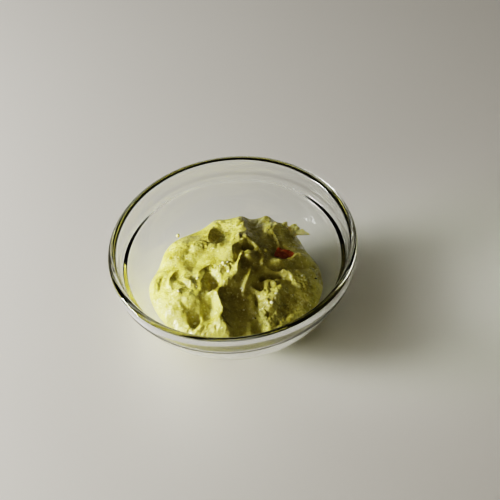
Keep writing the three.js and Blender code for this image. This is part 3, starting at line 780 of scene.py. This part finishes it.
def glass_material(settings):
    """Clear pressed glass: faintly wavy from the mould, and it lets lamps light what it holds."""
    material, tree, shader, place = new_material("clear_pressed_glass")
    ripples = reckoned(tree, "MULTIPLY", noise(tree, place, 260, 2, 0.5), RIPPLE_SHARE)
    waves = reckoned(tree, "ADD", noise(tree, place, 45, 1, 0.4), ripples)
    feed(tree, shader, {
        "Base Color": settings.tint,
        "Metallic": 0,
        "Transmission Weight": 1,
        "IOR": 1.5,
        "Roughness": 0,
        "Normal": bumps(tree, waves, settings.waviness),
    })
    clear = fed_node(tree, "BsdfTransparent", {"Color": LAMP_TINT})
    rays = tree.nodes.new("ShaderNodeLightPath")
    mix = fed_node(tree, "MixShader", {
        0: rays.outputs["Is Shadow Ray"], 1: shader.outputs[0], 2: clear.outputs[0],
    })
    feed(tree, tree.nodes["Material Output"], {"Surface": mix.outputs[0]})
    return material


# Finishes of wet flesh, by material: noise scales of its patches, pale bits, wet film and grain;
# roughness where wet and where dry; how much light sinks in, how far in each colour as shares of a
# distance, and that distance in metres; and how deep the grain is, in metres.
FINISHES = {
    "mashed_avocado": ((130, 800, 210, 1600), (0.25, 0.5), (0.6, (0.9, 0.82, 0.28), 0.0012), 0.00035),
    "flake_pulp_painted_light": ((300, 1200, 400, 2600), (0.2, 0.4), (0.6, (1.0, 0.75, 0.25), 0.0016), 0.0002),
    "crumb_pulp": ((300, 1200, 400, 2600), (0.2, 0.4), (0.5, (1.0, 0.75, 0.25), 0.0012), 0.00008),
    "tomato_flesh_red": ((240, 1400, 500, 1800), (0.1, 0.3), (0.5, (1.0, 0.25, 0.1), 0.0012), 0.00008),
    "onion_flesh": ((500, 1500, 700, 3000), (0.12, 0.3), (0.3, (1.0, 0.9, 0.6), 0.0006), 0.00005),
    "herb_leaf": ((700, 1800, 900, 2500), (0.2, 0.5), (0.0, (1.0, 0.9, 0.6), 0.0005), 0.00005),
}


def flesh_material(name, main, deep, pale, wetness):
    """Soft wet plant flesh in three colours, finished as its row in FINISHES says."""
    scales, (wet, dry), (sunk, radius, sunk_scale), grain_depth = FINISHES[name]
    material, tree, shader, place = new_material(name)
    mottle = placed_group(tree, "Flesh mottle", mottle_group, {
        "Vector": place,
        "Main Color": main, "Deep Color": deep, "Pale Color": pale,
        "Patch Scale": scales[0], "Bit Scale": scales[1],
    })
    moist = placed_group(tree, "Moist film", moist_group, {
        "Vector": place,
        "Wet Roughness": wet, "Dry Roughness": dry,
        "Patch Scale": scales[2], "Grain Scale": scales[3],
    })
    feed(tree, shader, {
        "Base Color": mottle["Color"],
        "Roughness": moist["Roughness"],
        "Coat Weight": reckoned(tree, "MULTIPLY", moist["Film"], wetness),
        "Coat Roughness": 0.1,
        "Coat IOR": 1.45,
        "Specular IOR Level": 0.4,
        "Subsurface Weight": sunk,
        "Subsurface Radius": radius,
        "Subsurface Scale": sunk_scale,
        "Normal": bumps(tree, moist["Height"], grain_depth),
    })
    return material


# ---- Settings ----


class BowlSettings(bpy.types.PropertyGroup):
    tint: bpy.props.FloatVectorProperty(
        name="Glass Tint", description="Colour of the clear glass", subtype="COLOR",
        min=0, max=1, default=(0.97, 0.985, 0.965),
    )
    waviness: bpy.props.FloatProperty(
        name="Waviness", description="Depth of the mould's waves in the glass", subtype="DISTANCE",
        unit="LENGTH", min=0, max=0.002, default=0.00012, precision=5,
    )


class GuacamoleSettings(bpy.types.PropertyGroup):
    flesh: bpy.props.FloatVectorProperty(
        name="Flesh", description="Main colour of the mashed avocado", subtype="COLOR",
        min=0, max=1, default=(0.54, 0.5, 0.12),
    )
    deep: bpy.props.FloatVectorProperty(
        name="Deep Flesh", description="Colour of the darker, riper patches", subtype="COLOR",
        min=0, max=1, default=(0.3, 0.26, 0.024),
    )
    pale: bpy.props.FloatVectorProperty(
        name="Pale Bits", description="Colour of the palest pulp", subtype="COLOR",
        min=0, max=1, default=(0.74, 0.72, 0.36),
    )
    wetness: bpy.props.FloatProperty(
        name="Wetness", description="Strength of the wet film on the pulp", subtype="FACTOR",
        min=0, max=1, default=0.9,
    )


class BitsSettings(bpy.types.PropertyGroup):
    tomato: bpy.props.FloatVectorProperty(
        name="Tomato", description="Colour of the tomato flesh", subtype="COLOR",
        min=0, max=1, default=(0.44, 0.125, 0.03),
    )
    onion: bpy.props.FloatVectorProperty(
        name="Onion", description="Colour of the onion bits", subtype="COLOR",
        min=0, max=1, default=(0.86, 0.84, 0.58),
    )
    herb: bpy.props.FloatVectorProperty(
        name="Herb", description="Colour of the dark herb flecks", subtype="COLOR",
        min=0, max=1, default=(0.035, 0.045, 0.012),
    )
    onion_count: bpy.props.IntProperty(
        name="Loose Onion Bits", description="Onion bits scattered besides the placed ones",
        min=0, max=400, default=30,
    )


class StageSettings(bpy.types.PropertyGroup):
    floor: bpy.props.FloatVectorProperty(
        name="Floor", description="Colour of the floor", subtype="COLOR",
        min=0, max=1, default=(0.78, 0.77, 0.75),
    )
    key_power: bpy.props.FloatProperty(
        name="Key Light", description="Power of the large light at the left", unit="POWER",
        min=0, max=200, default=9.5,
    )
    fill_power: bpy.props.FloatProperty(
        name="Fill Light", description="Power of the soft light at the front left", unit="POWER",
        min=0, max=200, default=0.9,
    )
    surround: bpy.props.FloatProperty(
        name="Surround", description="Brightness of the room all round", subtype="FACTOR",
        min=0, max=2, default=0.03,
    )


class PieceSettings(bpy.types.PropertyGroup):
    bowl: bpy.props.PointerProperty(type=BowlSettings)
    guacamole: bpy.props.PointerProperty(type=GuacamoleSettings)
    bits: bpy.props.PointerProperty(type=BitsSettings)
    stage: bpy.props.PointerProperty(type=StageSettings)


# ---- Pieces ----

# The tomato lies in its cleft: (x, y, how deep it is sunk) along its length.
TOMATO_ROUTE = [(19.8, 7.4, 0.5), (25, 5.6, 0.2), (32, 3.6, 0.4)]
TOMATO_FLAT = (0, -0.5, 0.87)
TOMATO_HALF = (4.8, 1.1)  # half width and half thickness
TOMATO_LEAN = 0.5  # how far back along the route the piece is widest
TOMATO_DEEP = (0.5, 0.4, 0.4)  # its other two colours, as shares of the main one
TOMATO_PALE = (1.3, 3, 2)

# Torn flakes at the heap's edge: (three points, where the flat side looks, half width, half thickness).
FLAKES = [
    ([(28.6, 24.6, 25), (34, 22.6, 27.2), (40, 20.4, 27)], (0.1, -0.35, 1), 2, 0.6),
    ([(29.4, 24.4, 25.2), (32, 25.8, 27.2), (34, 27.4, 28.4)], (0.4, -0.5, 1), 1.9, 0.7),
    ([(29, 22.6, 25.4), (32.6, 24.2, 27.6), (35.4, 25, 28)], (-0.2, -0.5, 1), 1.4, 0.6),
    ([(25.4, 27, 26.4), (27.6, 28.2, 27.8), (29.6, 30, 28.2)], (0.4, -0.4, 1), 1.2, 0.5),
    ([(36.6, -3.6, 22.4), (38.6, -2.2, 23.6), (40, -0.8, 24.6)], (1, 0, 0.4), 1.1, 0.7),
]

# Onion bits set where the wet pulp glistens, partly real onion and partly painted glints that stand in
# for its highlights; and the herb flecks: (x, y, half size).
ONION_AND_GLINT_PLACES = [
    (-11.5, -3.2, 0.9), (-10.2, -1.4, 0.7), (-9, -4.6, 0.8), (-7.4, 1.8, 0.8), (-5.8, 3.6, 0.9),
    (-8.6, -2.8, 0.6), (-4.4, 1, 0.7), (-3.6, -2.4, 0.9), (-3.2, 3, 0.7), (9.5, -17, 0.9),
    (2, -17, 0.6), (1.5, -22, 0.7), (-19, -2, 0.8), (-23.6, -20.6, 1.1), (-22.8, -23, 0.9),
    (-28.5, -8.5, 0.7), (15.2, -23.4, 0.8), (17.8, -19, 0.7),
]
HERB_PLACES = [
    (38, -2, 0.5), (38.5, -8, 0.55), (37, 8, 0.45), (-12.5, 27, 0.8),
    (39.2, -5.2, 0.35), (30.5, 13, 0.3), (-29.5, 12, 0.3), (6.5, -27, 0.35), (26, -18, 0.3),
]

SEED = 7
FULL_TURN = 6.28  # radians, near enough
SCATTER_RADIUS = 38  # how far from the axis loose bits lie
LOOSE_HALF = (0.25, 0.55)  # smallest and largest half size of a loose onion bit
ONION_TILT, HERB_TILT = 0.5, 0.4  # how far a bit is tipped off the slope, in radians
ONION_LONG, ONION_WIDE, ONION_THICK = 1.2, (0.7, 1), (0.4, 0.6)  # shares of its half size
ONION_SUNK = 0.3
ONION_PALE = (0.9, 0.89, 0.75)
HERB_SHAPE = (1.3, 0.9, 0.3)
RAY_START = 60  # height from which rays are dropped on the heap

# The crumb caught on the glass at the back left: degrees round the bowl, height and half sizes.
CRUMB_ANGLE, CRUMB_HEIGHT, CRUMB_HALF = 128, 24, (1.0, 0.85, 0.7)
CRUMB_OFF = 0.55  # share of its half thickness that its middle stands off the glass

# Where each kind of bit starts in the noise that makes it uneven.
FLAKE_LAYER, TOMATO_LAYER, ONION_LAYER, HERB_LAYER, CRUMB_LAYER = 31, 44, 60, 90, 97


def part_piece(name, mesh, material):
    """A piece of the part, from its points and faces, that rides on the one body."""
    piece = mesh_piece(name, *mesh)
    piece.data.materials.append(material)
    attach(piece, "root")
    return piece


def shaded(colour, share):
    """A colour times one share, or times one share for each channel."""
    return tuple(channel * part for channel, part in zip(colour, np.broadcast_to(share, 3)))


def laid_bits(random, places, tilt):
    """For each (x, y, half size) its half size, place and slope on the built heap, and a turn.

    The turn lays a bit on the slope, spun by chance and tipped by up to `tilt` radians.
    """
    heap = bpy.data.objects["guacamole_heap"].data
    faces = [tuple(face.vertices) for face in heap.polygons]
    tree = BVHTree.FromPolygons([point.co for point in heap.vertices], faces)
    for x, y, half in places:
        place, normal, _, _ = tree.ray_cast(Vector((x, y, RAY_START)) * MM, Vector((0, 0, -1)))
        if place is None:
            raise RuntimeError(f"no guacamole under ({x}, {y})")
        spun = facing(normal, random.uniform(0, FULL_TURN))
        turn = spun @ Matrix.Rotation(random.uniform(-tilt, tilt), 3, "X")
        yield half, place / MM, normal, turn


class BowlBuild(bpy.types.Operator):
    """Build the pressed glass bowl"""

    bl_idname = "guacamole.build_bowl"
    bl_label = "Glass Bowl"

    def execute(self, context):
        material = glass_material(context.scene.guacamole.bowl)
        piece = part_piece("glass_bowl", glass_mesh(), material)
        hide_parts("bowl")
        return {"FINISHED"}


class HeapBuild(bpy.types.Operator):
    """Build the heap of guacamole with its torn flakes"""

    bl_idname = "guacamole.build_heap"
    bl_label = "Guacamole"

    def execute(self, context):
        settings = context.scene.guacamole.guacamole
        flesh, deep, pale, wetness = settings.flesh, settings.deep, settings.pale, settings.wetness
        material = flesh_material("mashed_avocado", flesh, deep, pale, wetness)
        piece = part_piece("guacamole_heap", heap_mesh(), material)
        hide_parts("guacamole")
        parts = [
            chip_mesh(*flake, sections=20, sides=24, rough=0.7, layer=FLAKE_LAYER + k)
            for k, flake in enumerate(FLAKES)
        ]
        # The flakes take the pale colour as their main one: partly the torn pulp's own paler colour,
        # partly painted light that makes them look lit where the heap's shadow falls on them.
        material = flesh_material("flake_pulp_painted_light", pale, flesh, pale, wetness)
        part_piece("torn_flakes", gathered(parts), material)
        return {"FINISHED"}


class TomatoBuild(bpy.types.Operator):
    """Build the piece of tomato in its cleft"""

    bl_idname = "guacamole.build_tomato"
    bl_label = "Tomato Piece"

    def execute(self, context):
        route = np.array(TOMATO_ROUTE, float)
        heights = heap_height(route[:, 0], route[:, 1], fine=False)
        route[:, 2] = heights - route[:, 2]
        chip = chip_mesh(
            route, TOMATO_FLAT, *TOMATO_HALF,
            sections=30, sides=40, rough=0.3, layer=TOMATO_LAYER, lean=TOMATO_LEAN,
        )
        main = context.scene.guacamole.bits.tomato
        deep, pale = shaded(main, TOMATO_DEEP), shaded(main, TOMATO_PALE)
        material = flesh_material("tomato_flesh_red", main, deep, pale, wetness=0.8)
        piece = part_piece("tomato_flesh", chip, material)
        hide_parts("tomato_piece")
        return {"FINISHED"}


class OnionBuild(bpy.types.Operator):
    """Build the onion bits that glisten on the heap"""

    bl_idname = "guacamole.build_onion"
    bl_label = "Onion Bits"

    def execute(self, context):
        settings = context.scene.guacamole.bits
        random = np.random.default_rng(SEED)
        places = list(ONION_AND_GLINT_PLACES)
        while len(places) < len(ONION_AND_GLINT_PLACES) + settings.onion_count:
            x, y = random.uniform(-SCATTER_RADIUS, SCATTER_RADIUS, 2)
            if math.hypot(x, y) < SCATTER_RADIUS and random.random() < graininess(x, y):
                places.append((x, y, random.uniform(*LOOSE_HALF)))
        parts = []
        for k, (half, place, normal, turn) in enumerate(laid_bits(random, places, ONION_TILT)):
            shape = [ONION_LONG, random.uniform(*ONION_WIDE), random.uniform(*ONION_THICK)]
            sunk = place - normal * half * ONION_SUNK
            parts.append(pebble_mesh(sunk, half * np.array(shape), turn, ONION_LAYER + k))
        deep = shaded(settings.onion, 0.8)
        material = flesh_material("onion_flesh", settings.onion, deep, ONION_PALE, wetness=0.25)
        part_piece("onion_bits", gathered(parts), material)
        return {"FINISHED"}


class HerbBuild(bpy.types.Operator):
    """Build the dark herb flecks"""

    bl_idname = "guacamole.build_herb"
    bl_label = "Herb Flecks"

    def execute(self, context):
        random = np.random.default_rng(SEED + 1)
        parts = [
            pebble_mesh(place, half * np.array(HERB_SHAPE), turn, HERB_LAYER + k)
            for k, (half, place, _, turn) in enumerate(laid_bits(random, HERB_PLACES, HERB_TILT))
        ]
        main = context.scene.guacamole.bits.herb
        deep, pale = shaded(main, 0.5), shaded(main, 1.8)
        material = flesh_material("herb_leaf", main, deep, pale, wetness=0.3)
        part_piece("herb_flecks", gathered(parts), material)
        return {"FINISHED"}


class CrumbBuild(bpy.types.Operator):
    """Build the crumb of guacamole caught on the glass"""

    bl_idname = "guacamole.build_crumb"
    bl_label = "Crumb on the Glass"

    def execute(self, context):
        settings = context.scene.guacamole.guacamole
        angle = math.radians(CRUMB_ANGLE)
        outward = Vector((math.cos(angle), math.sin(angle), 0))
        above, below = (cavity_radius(CRUMB_HEIGHT + step) for step in (1, -1))
        inward = (Vector((0, 0, (above - below) / 2)) - outward).normalized()
        wall = outward * cavity_radius(CRUMB_HEIGHT) + Vector((0, 0, CRUMB_HEIGHT))
        place = wall + inward * CRUMB_HALF[2] * CRUMB_OFF
        crumb = pebble_mesh(place, CRUMB_HALF, facing(inward, spin=0.6), CRUMB_LAYER, rough=0.3)
        pale, flesh = settings.pale, settings.flesh
        material = flesh_material("crumb_pulp", pale, flesh, pale, settings.wetness)
        part_piece("stray_crumb", crumb, material)
        return {"FINISHED"}


# ---- Stage ----

CAMERA_RISE = 47.8  # degrees above the horizon
CAMERA_ROLL = 7.75  # degrees that the level lines rise to the right
CAMERA_DISTANCE = 530  # from the middle of the rim
CAMERA_LENS = 79.85
CAMERA_SHIFT = (0.037, -0.0164)
EXPOSURE = 0.35

# The two lamps, in metres: how wide and high, and where they hang.
WINDOW_SIZE, WINDOW_PLACE = (0.26, 0.22), (-0.80, 0.05, 0.235)
ROOM_SIZE, ROOM_PLACE = (0.8, 0.8), (-0.5, -0.5, 0.68)
LIT_POINT = (0, 0, 0.03)  # what they face
WINDOW_WHITE = (1, 0.98, 0.95)
WARM_SHADE = (1, 0.86, 0.52)  # what the room gives back to the shaded sides

FLOOR_HALF = 1500
FLOOR_SHADE = 0.98  # how bright the floor's darker patches are


def area_light(name, power, size, place, colour):
    light = bpy.data.lights.new(name, "AREA")
    light.shape = "RECTANGLE"
    light.size, light.size_y = size
    light.energy = power
    light.color = colour
    lamp = bpy.data.objects.new(name, light)
    lamp.location = place
    lamp.rotation_euler = (Vector(LIT_POINT) - Vector(place)).to_track_quat("-Z", "Y").to_euler()
    bpy.context.scene.collection.objects.link(lamp)


class StageBuild(bpy.types.Operator):
    """Build the floor, the lights and the camera"""

    bl_idname = "guacamole.build_stage"
    bl_label = "Studio"

    def execute(self, context):
        scene = context.scene
        settings = scene.guacamole.stage
        self.lay_floor(settings)
        area_light("window_light", settings.key_power, WINDOW_SIZE, WINDOW_PLACE, WINDOW_WHITE)
        area_light("room_light", settings.fill_power, ROOM_SIZE, ROOM_PLACE, WARM_SHADE)
        world = bpy.data.worlds.new("room")
        world.use_nodes = True
        tree = world.node_tree
        feed(tree, tree.nodes["Background"], {"Color": WARM_SHADE, "Strength": settings.surround})
        scene.world = world
        scene.view_settings.view_transform = "Filmic"
        scene.view_settings.look = "High Contrast"
        scene.view_settings.exposure = EXPOSURE
        self.set_camera(scene)
        return {"FINISHED"}

    def lay_floor(self, settings):
        corners = [(x * FLOOR_HALF, y * FLOOR_HALF, 0) for x, y in ((-1, -1), (1, -1), (1, 1), (-1, 1))]
        floor = mesh_piece("floor", corners, [(0, 1, 2, 3)])
        material, tree, shader, place = new_material("pale_floor")
        shade = stretched(tree, noise(tree, place, 6, 3, 0.5), 0.3, 0.7)
        colour = mixed(tree, shade, shaded(settings.floor, FLOOR_SHADE), settings.floor)
        feed(tree, shader, {"Base Color": colour, "Roughness": 0.6})
        floor.data.materials.append(material)
        floor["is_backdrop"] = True

    def set_camera(self, scene):
        rise, roll = math.radians(CAMERA_RISE), math.radians(CAMERA_ROLL)
        back = Vector((0, -math.cos(rise), math.sin(rise)))
        right = Vector((1, 0, 0))
        up = back.cross(right)
        side = math.cos(roll) * right - math.sin(roll) * up
        head = math.sin(roll) * right + math.cos(roll) * up
        data = bpy.data.cameras.new("camera")
        data.lens = CAMERA_LENS
        data.shift_x, data.shift_y = CAMERA_SHIFT
        data.clip_start, data.clip_end = 0.01, 20
        camera = bpy.data.objects.new("camera", data)
        scene.collection.objects.link(camera)
        place = back * CAMERA_DISTANCE * MM + Vector((0, 0, BOWL_HEIGHT * MM))
        turn = Matrix((side, head, back)).transposed().to_4x4()
        camera.matrix_world = Matrix.Translation(place) @ turn
        scene.camera = camera


# ---- Panel and registration ----

OPERATORS = (BowlBuild, HeapBuild, TomatoBuild, OnionBuild, HerbBuild, CrumbBuild, StageBuild)


class GuacamolePanel(bpy.types.Panel):
    """Buttons and settings for the bowl of guacamole"""

    bl_idname = "VIEW3D_PT_guacamole"
    bl_label = "Guacamole Bowl"
    bl_space_type = "VIEW_3D"
    bl_region_type = "UI"
    bl_category = "Guacamole"

    def draw(self, context):
        for operator in OPERATORS:
            self.layout.operator(operator.bl_idname)
        settings = context.scene.guacamole
        for group in (settings.bowl, settings.guacamole, settings.bits, settings.stage):
            box = self.layout.box()
            for name in group.__annotations__:
                box.prop(group, name)


CLASSES = (
    BowlSettings, GuacamoleSettings, BitsSettings, StageSettings, PieceSettings,
    *OPERATORS, GuacamolePanel,
)


def register():
    for cls in CLASSES:
        bpy.utils.register_class(cls)
    bpy.types.Scene.guacamole = bpy.props.PointerProperty(type=PieceSettings)


def unregister():
    del bpy.types.Scene.guacamole
    for cls in reversed(CLASSES):
        bpy.utils.unregister_class(cls)


def main():
    register()
    for build in (
        bpy.ops.guacamole.build_bowl,
        bpy.ops.guacamole.build_heap,
        bpy.ops.guacamole.build_tomato,
        bpy.ops.guacamole.build_onion,
        bpy.ops.guacamole.build_herb,
        bpy.ops.guacamole.build_crumb,
        bpy.ops.guacamole.build_stage,
    ):
        build()
    boxes = {"cad": CAD_BOX, "visual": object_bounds()}
    {name: [list(corner) for corner in box] for name, box in boxes.items()}


if __name__ == "__main__":
    main()
